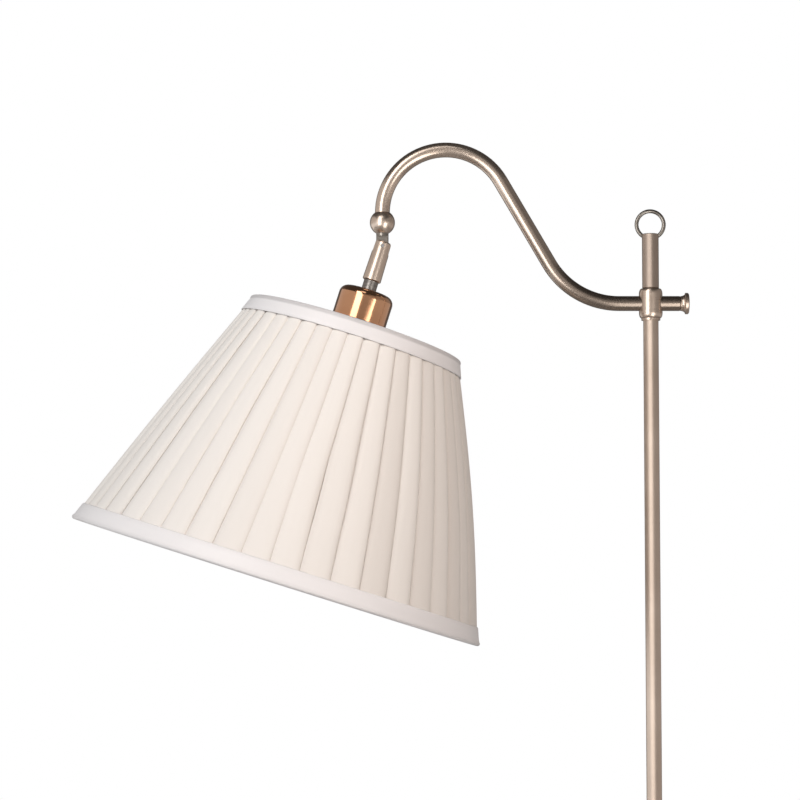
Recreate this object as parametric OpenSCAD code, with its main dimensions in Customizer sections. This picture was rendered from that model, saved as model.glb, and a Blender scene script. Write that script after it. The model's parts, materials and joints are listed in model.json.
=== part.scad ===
// Floor lamp with a sliding swan-neck arm and a pleated fabric shade.
// The pole stands at x = 0, y = 0 with the floor at z = 0, and the arm reaches towards -X.
// Everything below the knuckle is built upright, with its axis on the tilt pivot, and then tilted.

/* [Stand] */
// Outside diameter of the pole tube
pole_d = 13; // [12.4:0.1:16]
// Wall thickness of the pole tube
pole_wall = 1.2; // [0.8:0.1:1.6]
// Height of the arm's axis above the floor, with the slider at its top stop
arm_h = 1360; // [1200:10:1600]
// How far the slider can travel down the pole
travel = 420; // [200:10:520]
// Diameter of the turned rings between the pole sections
ring_joint_d = 19; // [17.6:0.2:24]
// Height of the turned rings between the pole sections
ring_joint_h = 14; // [8:1:24]
// Diameter of the threaded studs that join the pole sections
stud_d = 8; // [6:0.5:8.4]
// Length of the threaded insert pressed into each end of a pole section
insert_l = 18; // [12:1:30]

/* [Base] */
// Diameter of the base cover
base_d = 270; // [240:5:320]
// Height of the cover's outer rim above the felt
base_rim_h = 14; // [12:0.5:20]
// Height of the cover's neck above the felt
base_neck_h = 32; // [27:1:45]
// Diameter of the cover's neck
base_neck_d = 42; // [41:1:60]
// Wall thickness of the spun base cover
base_wall = 1; // [0.8:0.1:1.5]
// Thickness of the felt under the base
felt_t = 2; // [1:0.5:4]
// Diameter of the foot of the turned base collar
base_collar_d = 40; // [32:1:40]
// Height of the turned base collar
base_collar_h = 30; // [24:1:50]
// Depth of the pole's socket in the base collar
base_socket = 22; // [16:1:24]

/* [Finial] */
// Outside diameter of the sleeve on the pole's top
sleeve_d = 14.2; // [13.8:0.1:17.4]
// Length of the sleeve on the pole's top
sleeve_l = 46.6; // [40:0.2:70]
// Depth of the sleeve's bore
sleeve_bore = 36; // [24:1:36]
// Outside diameter of the carrying ring
ring_d = 26.6; // [22:0.2:40]
// Thickness of the carrying ring's wire
ring_wire = 3.4; // [2.6:0.1:4.4]
// How far the ring's lowest point is let into the sleeve
ring_sink = 5.3; // [4:0.1:6]

/* [Slider] */
// Outside diameter of the slider collar
collar_d = 20; // [19.6:0.2:26]
// Height of the slider collar
collar_h = 25.2; // [24:0.2:34]
// Height of the rounding at each end of the collar
collar_round = 4.5; // [2:0.25:5]
// Wall thickness of the split friction bush
bush_wall = 0.7; // [0.5:0.05:0.9]
// Height of the lip that keeps the collar on the bush
bush_lip_h = 1.5; // [1:0.1:3]
// How far the lip stands out from the bush
bush_lip_w = 0.8; // [0.6:0.1:1.5]
// Width of the slit down the bush
bush_slit = 1.6; // [1:0.1:3]

/* [Clamp] */
// Diameter of the boss that holds the clamp screw
boss_d = 12.7; // [10.5:0.1:15]
// How far the boss stands out from the collar
boss_l = 14.5; // [10:0.5:20]
// Diameter of the clamp screw
clamp_screw_d = 6; // [5:0.5:7]
// Diameter of the swivel pip between the screw and its shoe
pip_d = 2.4; // [2:0.1:3]
// Length of the swivel pip
pip_l = 3; // [2:0.5:5]
// Thickness of the shoe that presses on the bush
shoe_t = 2; // [1.5:0.1:3]
// Diameter of the clamp knob's rim
knob_d = 18.2; // [17:0.2:26]
// Length of the clamp knob
knob_l = 7.5; // [7:0.5:14]
// Thickness of the clamp knob's rim
knob_rim = 3; // [2.8:0.1:3.5]

/* [Arm] */
// Outside diameter of the arm tube
arm_d = 12.7; // [12:0.1:13.4]
// Wall thickness of the arm tube
arm_wall = 1; // [0.8:0.1:1.4]
// Distance from the pole's axis to the start of the first bend
arm_lead = 26.8; // [25:0.2:40]
// Centreline radius of the first bend
bend_low_r = 68.7; // [60:0.5:90]
// Angle that the first bend turns upwards
bend_low_angle = 59.8; // [50:0.2:65]
// Length of the straight between the bends
arm_straight = 82; // [70:1:110]
// Centreline radius of the crook over the top
bend_top_r = 54; // [46:0.5:70]
// Length of the arm's last straight, down into the ball
arm_drop = 4.5; // [2:0.5:7]
// Distance from the pole's axis to the cord's outlet
outlet_x = 18.5; // [18:0.1:19.5]
// Bore of the cord's outlet bush
outlet_bore = 6; // [5:0.1:6.4]
// Diameter of the flex inside the lamp
flex_d = 4.6; // [3.6:0.1:4.8]

/* [Knuckle] */
// Diameter of the ball at the arm's end
ball_d = 21.4; // [20:0.1:26]
// Diameter of the neck below the ball
neck_d = 10.5; // [9.6:0.1:12]
// Distance from the ball's centre down to the tilt pivot
neck_drop = 20.6; // [20.4:0.1:28]
// Thickness of the neck's tongue
tongue_t = 5; // [4:0.1:5.6]
// Diameter of the knuckle pin
pin_d = 3; // [2.4:0.1:4]
// Outside diameter of the forked link at its ears
link_d = 14.4; // [12.4:0.1:15]
// Outside diameter of the forked link at its lower end
link_foot_d = 16; // [13.4:0.1:18]
// Distance from the pivot to the link's lower end
link_l = 31; // [28:0.5:50]
// How far the fork's ears stand above the pivot
ear_over = 4; // [3.5:0.1:4.5]
// Angle of the shade's axis from the vertical
tilt = 17.5; // [0:0.1:40]

/* [Lamp holder] */
// Diameter of the threaded nipple
nipple_d = 10; // [9.6:0.1:10]
// Diameter of the steel spacer between the link and the cap
spacer_d = 12.6; // [11:0.1:13]
// Length of the steel spacer between the link and the cap
spacer_l = 9; // [5:0.5:16]
// Outside diameter of the cap over the holder
cap_d = 47; // [44:0.5:60]
// Height of the cap over the holder
cap_h = 27; // [20:0.5:28]
// Radius of the cap's shoulder
cap_round = 7; // [4:0.5:9]
// Wall thickness of the cap
cap_wall = 1; // [0.8:0.1:1.2]
// Outside diameter of the lamp holder's skirt
holder_d = 39.4; // [38.6:0.1:40]
// Length of the lamp holder
holder_l = 55; // [48:1:60]
// Wall thickness of the lamp holder's skirt
holder_wall = 2.2; // [1.8:0.1:2.6]
// Thickness of the porcelain insert
insert_t = 12; // [10:0.5:14]
// Depth of the screw shell
shell_depth = 24; // [20:0.5:26]
// Diameter of the bulb's screw cap
bulb_cap_d = 26.4; // [26:0.1:26.6]
// Diameter of the bulb's glass
bulb_d = 60; // [45:1:70]
// Length of the bulb with its cap
bulb_l = 108; // [95:1:125]

/* [Shade] */
// Outside diameter of the shade's top rim
shade_top_d = 185; // [170:1:220]
// Outside diameter of the shade's bottom rim
shade_bottom_d = 360; // [320:1:420]
// Height of the shade along its own axis
shade_h = 225; // [200:1:280]
// Number of pleats round the shade
pleats = 44; // [36:1:46]
// Depth of the pleats
pleat_depth = 2.4; // [1.5:0.1:3]
// How far the pleated fabric swells outwards at mid height
swell = 2.5; // [0:0.1:4]
// Thickness of the pleated fabric
cloth_t = 0.5; // [0.4:0.1:0.8]
// Thickness of the lining
lining_t = 0.6; // [0.4:0.1:1]
// Thickness of the trim bands
trim_t = 1; // [0.6:0.1:1.4]
// Width of the trim band round the top
top_trim_w = 14; // [10:0.5:22]
// Width of the trim band round the bottom
bottom_trim_w = 15; // [10:0.5:22]
// Thickness of the rolled bead along each rim
bead_d = 4; // [3:0.1:5]
// How far the rolled bead stands out from its trim band
bead_proud = 0.4; // [0.2:0.1:1]
// Thickness of the shade frame's rim wires
frame_wire_d = 3; // [2.8:0.1:4]
// Thickness of the frame's arms and ribs
frame_rod_d = 2.6; // [2:0.1:2.7]
// Number of ribs down the frame
ribs = 6; // [4:1:12]
// Distance from the shade's top rim down to the spider's centre ring
spider_drop = 6; // [5:0.5:12]
// Distance from the holder's top to the spider's centre ring
spider_at = 36; // [31:0.5:40]
// Thickness of the spider's centre ring
spider_t = 1.2; // [1:0.1:2]
// Height of each threaded shade ring
shade_ring_h = 4; // [3:0.5:5]

/* [Clearances] */
// Radial clearance of the fits that turn or slide
running_gap = 0.05; // [0.02:0.01:0.1]
// Radial clearance of pressed, screwed and glued fits
seat_gap = 0.1; // [0.05:0.05:0.15]
// Space between the faces of pieces that move past each other
body_gap = 0.3; // [0.2:0.05:0.4]
// Space between the layers of the shade
layer_gap = 0.3; // [0.1:0.05:0.4]

/* [Hidden] */
$fn = 72;
eps = 0.5;

pole_r = pole_d / 2;
pole_bore_d = pole_d - 2 * pole_wall;
insert_d = pole_bore_d - 2 * seat_gap;
stud_hole_d = stud_d + 2 * seat_gap;

bush_bore_d = pole_d + 2 * running_gap;
bush_d = bush_bore_d + 2 * bush_wall;
bush_lip_d = bush_d + 2 * bush_lip_w;
collar_bore_d = bush_d + 2 * running_gap;
collar_land = 0.6;
collar_end_d = collar_bore_d + 2 * collar_land;
collar_top = arm_h + collar_h / 2;
collar_bottom = arm_h - collar_h / 2;
bush_bottom = collar_bottom - body_gap - bush_lip_h;

sleeve_bottom = collar_top + body_gap;
sleeve_top = sleeve_bottom + sleeve_l;
pole_top = sleeve_bottom + sleeve_bore;
ring_z = sleeve_top - ring_sink + ring_d / 2;
ring_path_r = (ring_d - ring_wire) / 2;

// Heights of the base, from the floor up.
weight_z = felt_t;
weight_top = felt_t + base_rim_h - base_wall;
hub_top = felt_t + base_neck_h - base_wall;
neck_top = felt_t + base_neck_h;
base_r = base_d / 2;
cover_round = 6;
cover_land_w = 15;
weight_r = base_r - cover_round - base_wall;
weight_hub_r = base_neck_d / 2 - base_wall - seat_gap;
felt_inset = 3;
felt_r = base_r - felt_inset;
nut_h = 6.5;
nut_af = 13;
washer_t = 1.6;
washer_d = 24;
nut_recess_d = washer_d + 4;
weight_web = 10;
nut_recess_top = hub_top - weight_web;
base_collar_top = neck_top + base_collar_h;
pole_bottom = base_collar_top - base_socket;

// Each stud stops short of its insert's end, and the base stud shows below its nut.
stud_spare = 2;

// Heights and widths of the base collar's turned profile.
foot_round = 1.5;
foot_h = 2 * foot_round;
cove_land = 0.5;
collar_lip = 2.4;
bead_h = 4;
bead_out = 2;
top_round = 1;
top_land = 2;

// The joint rings have a small step above and below their bead.
ring_step_w = 0.8;
ring_step_h = 2;

// The upper ring is the lower stop of the slider, and the middle joint halves what is left.
upper_ring_z = bush_bottom - travel - body_gap - ring_joint_h;
section_l = (upper_ring_z - pole_bottom - ring_joint_h) / 2;
lower_ring_z = pole_bottom + section_l;

boss_end = collar_d / 2 + boss_l;
knob_start = boss_end + body_gap;
clamp_hole_d = clamp_screw_d + 2 * running_gap;
shoe_d = clamp_screw_d - 4 * seat_gap;
shoe_start = bush_d / 2 + body_gap;
screw_start = shoe_start + shoe_t + seat_gap;
screw_in_knob = knob_l - knob_rim;
knob_foot_round = 0.5;
knob_rim_round = 1.4;
knob_dish = 0.6;
knob_dish_in = 3;

// The arm's path: u runs out from the pole and v runs up from the arm's axis.
low_end_u = arm_lead + bend_low_r * sin(bend_low_angle);
low_end_v = bend_low_r * (1 - cos(bend_low_angle));
top_start_u = low_end_u + arm_straight * cos(bend_low_angle);
top_start_v = low_end_v + arm_straight * sin(bend_low_angle);
crook_u = top_start_u + bend_top_r * sin(bend_low_angle);
crook_v = top_start_v - bend_top_r * cos(bend_low_angle);
arm_end_u = crook_u + bend_top_r;
arm_end_z = arm_h + crook_v - arm_drop;

// The cord's outlet bush: its tube through the wall and its flange behind the arm.
outlet_wall = 0.9;
outlet_flange = 2;
outlet_tube_d = outlet_bore + 2 * outlet_wall;
outlet_flange_d = outlet_bore + 2 * outlet_flange;
outlet_flange_y = 2.6;
outlet_proud = 2;
outlet_inside = 1;

// The arm tube ends in a socket, this far above the ball's centre.
ball_r = ball_d / 2;
ball_socket = 4;
ball_z = arm_end_z - ball_socket;
pivot_z = ball_z - neck_drop;
spigot_wall = 1.25;
spigot_d = neck_d - 2 * spigot_wall;
spigot_l = 8;
shoulder = sqrt(pow(ear_over, 2) + pow(link_d / 2, 2)) + 2 * body_gap;
slot_w = tongue_t + 2 * body_gap;
slot_floor = neck_d / 2 + 2 * body_gap;
link_chamfer = 0.8;
ear_chamfer = 1;
flex_room = 1.4;
wire_bore = flex_d + flex_room;

// Distances down the head's own axis from the pivot.
nipple_in_link = 10;
nipple_start = link_l - nipple_in_link;
cap_top = link_l + spacer_l;
locknut_h = 3;
locknut_af = 14;
holder_top = cap_top + cap_wall + locknut_h;
holder_roof = 6;
chamber_h = 6;
nipple_end = holder_top + holder_roof;
insert_top = holder_top + holder_roof + chamber_h;
insert_face = insert_top + insert_t;
holder_bore_d = holder_d - 2 * holder_wall;
holder_round = 3;
chamber_ledge = 2;
chamber_d = holder_bore_d - 2 * chamber_ledge;
terminal_d = 5;
terminal_at = 8;
contact_d = 8;
contact_h = 2.5;
shell_t = 0.4;
shell_bore_d = bulb_cap_d + 2 * seat_gap;
bulb_start = insert_face + contact_h + seat_gap;
bulb_end = bulb_start + bulb_l;
bulb_cap_l = 26;
bulb_cap_cone = 3;
bulb_tip_d = 10;
bulb_tip_h = 1;
bulb_cone_h = 4;
bulb_crimp_h = 6;
glass_t = 0.8;
glass_neck_l = 8;

spider_top = holder_top + spider_at;
spider_bore_d = holder_d + 2 * seat_gap;
spider_ring_w = 8;
spider_ring_d = holder_d + 2 * spider_ring_w;
spider_arm_lap = 2;
shade_ring_w = 5.5;
shade_ring_d = holder_d + 2 * shade_ring_w;
rim_top = spider_top - spider_drop;
rim_bottom = rim_top + shade_h;
bead_r = bead_d / 2;
cloth_top = rim_top + bead_d + layer_gap;
cloth_bottom = rim_bottom - bead_d - layer_gap;
top_wire_a = cloth_top + frame_wire_d / 2;
bottom_wire_a = cloth_bottom - frame_wire_d / 2;

// Depths of the shade's layers in from its outer face. The fabric's back is flat from pleat to
// pleat, so its flats lie inside its round outline by their sag, which is largest at the bottom.
cover_in = trim_t + layer_gap;
cover_back = cover_in + pleat_depth + cloth_t;
cloth_sag = shade_bottom_d / 2 * (1 - cos(180 / pleats));
lining_in = cover_back + cloth_sag + layer_gap;
wire_in = lining_in + lining_t + layer_gap + frame_wire_d / 2;

BRASS = [0.66, 0.59, 0.52];
COPPER = [0.78, 0.52, 0.35];
STEEL = [0.5, 0.5, 0.5];
IRON = [0.25, 0.25, 0.26];
CLOTH = [0.95, 0.92, 0.9];

// Points on an ellipse's arc, in one plane.
function arc(cx, cy, rx, ry, from, to, steps = 10) =
    [for (i = [0:steps]) let (t = from + (to - from) * i / steps)
        [cx + rx * cos(t), cy + ry * sin(t)]];

// A tube along Z.
module tube(d, bore, h) {
    difference() {
        cylinder(d = d, h = h);
        translate([0, 0, -eps]) cylinder(d = bore, h = h + 2 * eps);
    }
}

// A round rod between two points.
module rod(p, q, d) {
    v = q - p;
    translate(p)
        rotate([0, acos(v.z / norm(v)), atan2(v.y, v.x)])
            cylinder(d = d, h = norm(v));
}

// Half the profile of a solid of revolution, turned about Z.
module turned(points) {
    rotate_extrude() polygon(points);
}

// A ring of round wire, lying flat.
module wire_ring(path_r, d) {
    rotate_extrude() translate([path_r, 0]) circle(d = d);
}

// A hexagonal nut lying flat, with a plain hole.
module hex_nut(across_flats, hole, h) {
    difference() {
        cylinder(d = across_flats / cos(30), h = h, $fn = 6);
        translate([0, 0, -eps]) cylinder(d = hole, h = h + 2 * eps);
    }
}

// Outline of the base cover's upper side, from the rim up to the neck.
function cover_line(r, z0, rim, neck_r, neck, steps = 20) =
    let (land_r = r - cover_round - cover_land_w)
    concat(
        [[r, z0]],
        arc(r - cover_round, rim - cover_round, cover_round, cover_round, 0, 90, 8),
        [for (i = [0:steps])
            let (s = i / steps)
            [land_r + (neck_r - land_r) * s, rim + (neck - rim) * (1 - cos(180 * s)) / 2]]
    );

module base_felt() {
    color([0.12, 0.2, 0.14]) cylinder(r = felt_r, h = felt_t);
}

module base_weight() {
    color(IRON) difference() {
        union() {
            translate([0, 0, weight_z]) cylinder(r = weight_r, h = weight_top - weight_z);
            cylinder(r = weight_hub_r, h = hub_top);
        }
        translate([0, 0, -eps]) cylinder(r = weight_r, h = weight_z + eps);
        translate([0, 0, -eps]) cylinder(d = nut_recess_d, h = nut_recess_top + eps);
        cylinder(d = stud_hole_d, h = hub_top + eps);
    }
}

module base_cover() {
    outer = cover_line(base_r, felt_t, felt_t + base_rim_h, base_neck_d / 2, neck_top);
    inner = cover_line(base_r - base_wall, felt_t, weight_top, base_neck_d / 2, hub_top);
    color(BRASS) turned(concat(
        outer,
        [[stud_hole_d / 2, neck_top], [stud_hole_d / 2, hub_top]],
        [for (i = [len(inner) - 1:-1:0]) inner[i]]
    ));
}

module base_washer() {
    color(STEEL)
        translate([0, 0, nut_recess_top - washer_t])
            tube(washer_d, stud_hole_d, washer_t);
}

module base_nut() {
    color(STEEL)
        translate([0, 0, nut_recess_top - washer_t - nut_h])
            hex_nut(nut_af, stud_hole_d, nut_h);
}

module base_stud() {
    bottom = nut_recess_top - washer_t - nut_h - stud_spare;
    top = pole_bottom + insert_l - stud_spare;
    color(STEEL) translate([0, 0, bottom]) cylinder(d = stud_d, h = top - bottom);
}

module base_collar() {
    foot_r = base_collar_d / 2;
    top_r = pole_r + collar_lip;
    cove_top = base_collar_h - top_land - bead_h;
    cove_h = cove_top - foot_h;
    cove_w = foot_r - foot_round - cove_land - top_r;
    color(BRASS) difference() {
        translate([0, 0, neck_top]) turned(concat(
            [[0, 0], [foot_r, 0]],
            arc(foot_r - foot_round, foot_round, foot_round, foot_round, 0, 90, 6),
            arc(top_r + cove_w, cove_top, cove_w, cove_h, 270, 180, 14),
            [[top_r + bead_out / 2, cove_top]],
            arc(top_r, cove_top + bead_h / 2, bead_out, bead_h * 3 / 8, -60, 60, 8),
            [[top_r, cove_top + bead_h]],
            arc(top_r - top_round, base_collar_h - top_round, top_round, top_round, 0, 90, 4),
            [[0, base_collar_h]]
        ));
        translate([0, 0, pole_bottom])
            cylinder(d = pole_d + 2 * seat_gap, h = base_socket + eps);
        translate([0, 0, neck_top - eps]) cylinder(d = stud_hole_d, h = base_collar_h);
    }
}

module pole_section(z, h) {
    color(BRASS) translate([0, 0, z]) tube(pole_d, pole_bore_d, h);
}

module pole_lower() {
    pole_section(pole_bottom, section_l);
}

module pole_middle() {
    pole_section(lower_ring_z + ring_joint_h, section_l);
}

module pole_upper() {
    bottom = upper_ring_z + ring_joint_h;
    pole_section(bottom, pole_top - bottom);
}

module pole_inserts() {
    bottoms = [pole_bottom, lower_ring_z + ring_joint_h, upper_ring_z + ring_joint_h];
    tops = [lower_ring_z, upper_ring_z];
    color(STEEL) {
        for (z = bottoms) translate([0, 0, z]) tube(insert_d, stud_hole_d, insert_l);
        for (z = tops) translate([0, 0, z - insert_l]) tube(insert_d, stud_hole_d, insert_l);
    }
}

// A turned ring with a bead between two small steps.
module joint_ring(z) {
    step_r = pole_r + ring_step_w;
    bead_ry = ring_joint_h / 2 - ring_step_h;
    color(BRASS) difference() {
        translate([0, 0, z]) turned(concat(
            [[0, 0], [step_r, 0], [step_r, ring_step_h]],
            arc(step_r, ring_joint_h / 2, ring_joint_d / 2 - step_r, bead_ry, -90, 90, 14),
            [[step_r, ring_joint_h - ring_step_h], [step_r, ring_joint_h], [0, ring_joint_h]]
        ));
        translate([0, 0, z - eps]) cylinder(d = stud_hole_d, h = ring_joint_h + 2 * eps);
    }
}

module joint_ring_lower() {
    joint_ring(lower_ring_z);
}

module joint_ring_upper() {
    joint_ring(upper_ring_z);
}

module joint_studs() {
    reach = insert_l - stud_spare;
    color(STEEL)
        for (z = [lower_ring_z, upper_ring_z])
            translate([0, 0, z - reach]) cylinder(d = stud_d, h = ring_joint_h + 2 * reach);
}

// The carrying ring, upright in the XZ plane.
module carrying_ring(d) {
    translate([0, 0, ring_z]) rotate([90, 0, 0]) wire_ring(ring_path_r, d);
}

module finial_sleeve() {
    r = sleeve_d / 2;
    edge = 0.5;
    color(BRASS) difference() {
        translate([0, 0, sleeve_bottom]) turned([
            [0, 0], [r - edge, 0], [r, edge],
            [r, sleeve_l - edge], [r - edge, sleeve_l], [0, sleeve_l]
        ]);
        translate([0, 0, sleeve_bottom - eps])
            cylinder(d = pole_d + 2 * seat_gap, h = sleeve_bore + eps);
        carrying_ring(ring_wire + 2 * seat_gap);
    }
}

module finial_ring() {
    color(BRASS) carrying_ring(ring_wire);
}

module slider_bush() {
    color(BRASS) difference() {
        union() {
            translate([0, 0, bush_bottom]) cylinder(d = bush_lip_d, h = bush_lip_h);
            translate([0, 0, bush_bottom]) cylinder(d = bush_d, h = collar_top - bush_bottom);
        }
        translate([0, 0, bush_bottom - eps])
            cylinder(d = bush_bore_d, h = collar_top - bush_bottom + 2 * eps);
        translate([-bush_slit / 2, 0, bush_bottom - eps])
            cube([bush_slit, bush_lip_d, collar_top - bush_bottom + 2 * eps]);
    }
}

module slider_collar() {
    r = collar_d / 2;
    end_r = collar_end_d / 2;
    color(BRASS) difference() {
        translate([0, 0, collar_bottom]) turned(concat(
            [[0, 0]],
            arc(end_r, collar_round, r - end_r, collar_round, -90, 0),
            arc(end_r, collar_h - collar_round, r - end_r, collar_round, 0, 90),
            [[0, collar_h]]
        ));
        translate([0, 0, collar_bottom - eps]) cylinder(d = collar_bore_d, h = collar_h + 2 * eps);
        translate([0, 0, arm_h]) rotate([0, 90, 0]) cylinder(d = clamp_hole_d, h = collar_d);
    }
}

module clamp_boss() {
    color(BRASS) difference() {
        translate([0, 0, arm_h]) rotate([0, 90, 0]) tube(boss_d, clamp_hole_d, boss_end);
        translate([0, 0, collar_bottom]) cylinder(d = collar_d, h = collar_h);
    }
}

module clamp_shoe() {
    color(STEEL)
        translate([shoe_start, 0, arm_h]) rotate([0, 90, 0]) union() {
            cylinder(d = shoe_d, h = shoe_t);
            cylinder(d = pip_d, h = shoe_t + pip_l);
        }
}

module clamp_screw() {
    color(STEEL) difference() {
        translate([screw_start, 0, arm_h]) rotate([0, 90, 0])
            cylinder(d = clamp_screw_d, h = knob_start + screw_in_knob - screw_start);
        translate([screw_start - eps, 0, arm_h]) rotate([0, 90, 0])
            cylinder(d = pip_d + 2 * running_gap, h = pip_l + 0.5 + eps);
    }
}

module clamp_knob() {
    rim_r = knob_d / 2;
    foot_r = boss_d / 2;
    flare = knob_l - knob_rim;
    color(BRASS) difference() {
        translate([knob_start, 0, arm_h]) rotate([0, 90, 0]) turned(concat(
            [[0, 0], [foot_r - knob_foot_round, 0], [foot_r, knob_foot_round]],
            arc(rim_r, knob_foot_round, rim_r - foot_r, flare - knob_foot_round, 180, 90, 8),
            arc(rim_r - knob_rim_round, knob_l - knob_rim_round, knob_rim_round, knob_rim_round,
                0, 90, 4),
            [[rim_r - knob_dish_in + knob_dish, knob_l], [rim_r - knob_dish_in, knob_l - knob_dish],
                [0, knob_l - knob_dish]]
        ));
        translate([knob_start - eps, 0, arm_h]) rotate([0, 90, 0])
            cylinder(d = clamp_screw_d + 2 * seat_gap, h = screw_in_knob + eps);
    }
}

// Turns what is drawn with u along X and v along Y into the arm's plane.
module in_arm_plane() {
    translate([0, 0, arm_h]) mirror([1, 0, 0]) rotate([90, 0, 0]) children();
}

// The arm's round section, turned so that the seams of all its stretches meet.
module arm_section(d, bore, turn) {
    rotate(turn) difference() {
        circle(d = d);
        if (bore > 0) circle(d = bore);
    }
}

// The level stretch out of the collar, from u = start to the first bend.
module arm_lead_in(start, d, bore = 0) {
    in_arm_plane() translate([start, 0, 0]) rotate([0, 90, 0])
        linear_extrude(arm_lead - start) arm_section(d, bore, -90);
}

// The swan neck from the first bend to the last straight, whose length is given.
module swan_neck(drop, d, bore = 0) {
    in_arm_plane() translate([arm_lead, bend_low_r, 0]) rotate([0, 0, -90])
        rotate_extrude(angle = bend_low_angle)
            translate([bend_low_r, 0]) arm_section(d, bore, 0);
    in_arm_plane() translate([low_end_u, low_end_v, 0])
        rotate([0, 0, bend_low_angle]) rotate([0, 90, 0])
            linear_extrude(arm_straight) arm_section(d, bore, -90);
    in_arm_plane() translate([crook_u, crook_v, 0])
        rotate_extrude(angle = 90 + bend_low_angle)
            translate([bend_top_r, 0]) arm_section(d, bore, 180);
    in_arm_plane() translate([arm_end_u, crook_v, 0]) rotate([90, 0, 0])
        linear_extrude(drop) arm_section(d, bore, 180);
}

// The drilling for the cord's outlet, out through the arm's back.
module outlet(d, from_y, to_y) {
    translate([-outlet_x, from_y, arm_h]) rotate([-90, 0, 0]) cylinder(d = d, h = to_y - from_y);
}

module arm_tube() {
    bore = arm_d - 2 * arm_wall;
    color(BRASS) union() {
        difference() {
            arm_lead_in(0, arm_d, bore);
            translate([0, 0, collar_bottom]) cylinder(d = collar_d, h = collar_h);
            outlet(outlet_tube_d + 2 * seat_gap, 0, arm_d);
        }
        swan_neck(arm_drop, arm_d, bore);
    }
}

module arm_flex() {
    color([0.9, 0.9, 0.88]) union() {
        arm_lead_in(outlet_x, flex_d);
        swan_neck(arm_drop + ball_socket + 1, flex_d);
    }
}

module cord_outlet_bush() {
    inner_y = arm_d / 2 - arm_wall - outlet_inside;
    outer_y = arm_d / 2 + outlet_proud;
    color([0.1, 0.1, 0.1]) difference() {
        union() {
            outlet(outlet_tube_d, inner_y, outer_y);
            difference() {
                outlet(outlet_flange_d, arm_d / 2 - outlet_flange_y, outer_y);
                translate([-arm_lead, 0, arm_h]) rotate([0, 90, 0])
                    cylinder(d = arm_d, h = arm_lead);
            }
        }
        outlet(outlet_bore, 0, arm_d);
    }
}

module arm_ball() {
    color(BRASS) translate([-arm_end_u, 0, ball_z]) difference() {
        sphere(r = ball_r);
        translate([0, 0, arm_end_z - ball_z]) cylinder(d = arm_d + 2 * seat_gap, h = ball_r);
        translate([0, 0, -ball_r]) cylinder(d = wire_bore, h = ball_d);
        translate([0, 0, -ball_r - eps])
            cylinder(d = spigot_d + 2 * seat_gap, h = spigot_l + eps);
    }
}

module knuckle_neck() {
    ball_up = ball_z - pivot_z;
    neck_r = neck_d / 2;
    color(BRASS) translate([-arm_end_u, 0, pivot_z]) difference() {
        union() {
            difference() {
                translate([0, 0, shoulder]) cylinder(d = neck_d, h = ball_up - shoulder);
                translate([0, 0, ball_up]) sphere(r = ball_r);
            }
            translate([0, 0, shoulder])
                cylinder(d = spigot_d, h = ball_up - ball_r + spigot_l - seat_gap - shoulder);
            intersection() {
                translate([0, 0, -neck_r]) cylinder(d = neck_d, h = neck_r + shoulder + eps);
                rotate([90, 0, 0]) linear_extrude(tongue_t, center = true) union() {
                    circle(d = neck_d);
                    translate([-neck_r, 0]) square([neck_d, shoulder + 2 * eps]);
                }
            }
        }
        rotate([90, 0, 0]) cylinder(d = pin_d + 2 * running_gap, h = neck_d, center = true);
    }
}

// Places what is built upright below the pivot at its tilt.
module on_head() {
    translate([-arm_end_u, 0, pivot_z]) rotate([0, tilt, 0]) children();
}

// Places children at a distance down the head's axis, with +Z still upwards.
module down(a) {
    on_head() translate([0, 0, -a]) children();
}

module knuckle_pin() {
    length = link_d - 4 * seat_gap;
    color(STEEL) on_head() rotate([90, 0, 0]) cylinder(d = pin_d, h = length, center = true);
}

module forked_link() {
    r = link_d / 2;
    foot_r = link_foot_d / 2;
    bottom = -link_l;
    color(BRASS) on_head() difference() {
        turned([
            [0, bottom], [foot_r - link_chamfer, bottom], [foot_r, bottom + link_chamfer],
            [r, ear_over - ear_chamfer], [r - ear_chamfer, ear_over], [0, ear_over]
        ]);
        translate([-link_d, -slot_w / 2, -slot_floor])
            cube([2 * link_d, slot_w, slot_floor + ear_over + eps]);
        translate([0, 0, bottom - eps]) cylinder(d = wire_bore, h = link_l);
        translate([0, 0, bottom - eps])
            cylinder(d = nipple_d + 2 * seat_gap, h = link_l - nipple_start + eps);
        rotate([90, 0, 0]) cylinder(d = pin_d + 2 * seat_gap, h = 2 * link_d, center = true);
    }
}

module link_flex() {
    end = nipple_end + chamber_h / 3;
    color([0.9, 0.9, 0.88]) down(end) cylinder(d = flex_d, h = end - slot_floor - 1);
}

module holder_nipple() {
    color(STEEL) down(nipple_end) tube(nipple_d, wire_bore, nipple_end - nipple_start);
}

module nipple_spacer() {
    color(STEEL) down(cap_top) tube(spacer_d, nipple_d + 2 * seat_gap, spacer_l);
}

module nipple_locknut() {
    color(STEEL)
        down(holder_top) hex_nut(locknut_af, nipple_d + 2 * seat_gap, locknut_h);
}

module holder_cap() {
    r = cap_d / 2;
    ri = r - cap_wall;
    hole_r = nipple_d / 2 + seat_gap;
    color(COPPER) down(cap_top) turned(concat(
        [[hole_r, 0]],
        arc(r - cap_round, -cap_round, cap_round, cap_round, 90, 0, 10),
        [[r, -cap_h], [ri, -cap_h]],
        arc(r - cap_round, -cap_round, cap_round - cap_wall, cap_round - cap_wall, 0, 90, 10),
        [[hole_r, -cap_wall]]
    ));
}

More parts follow.
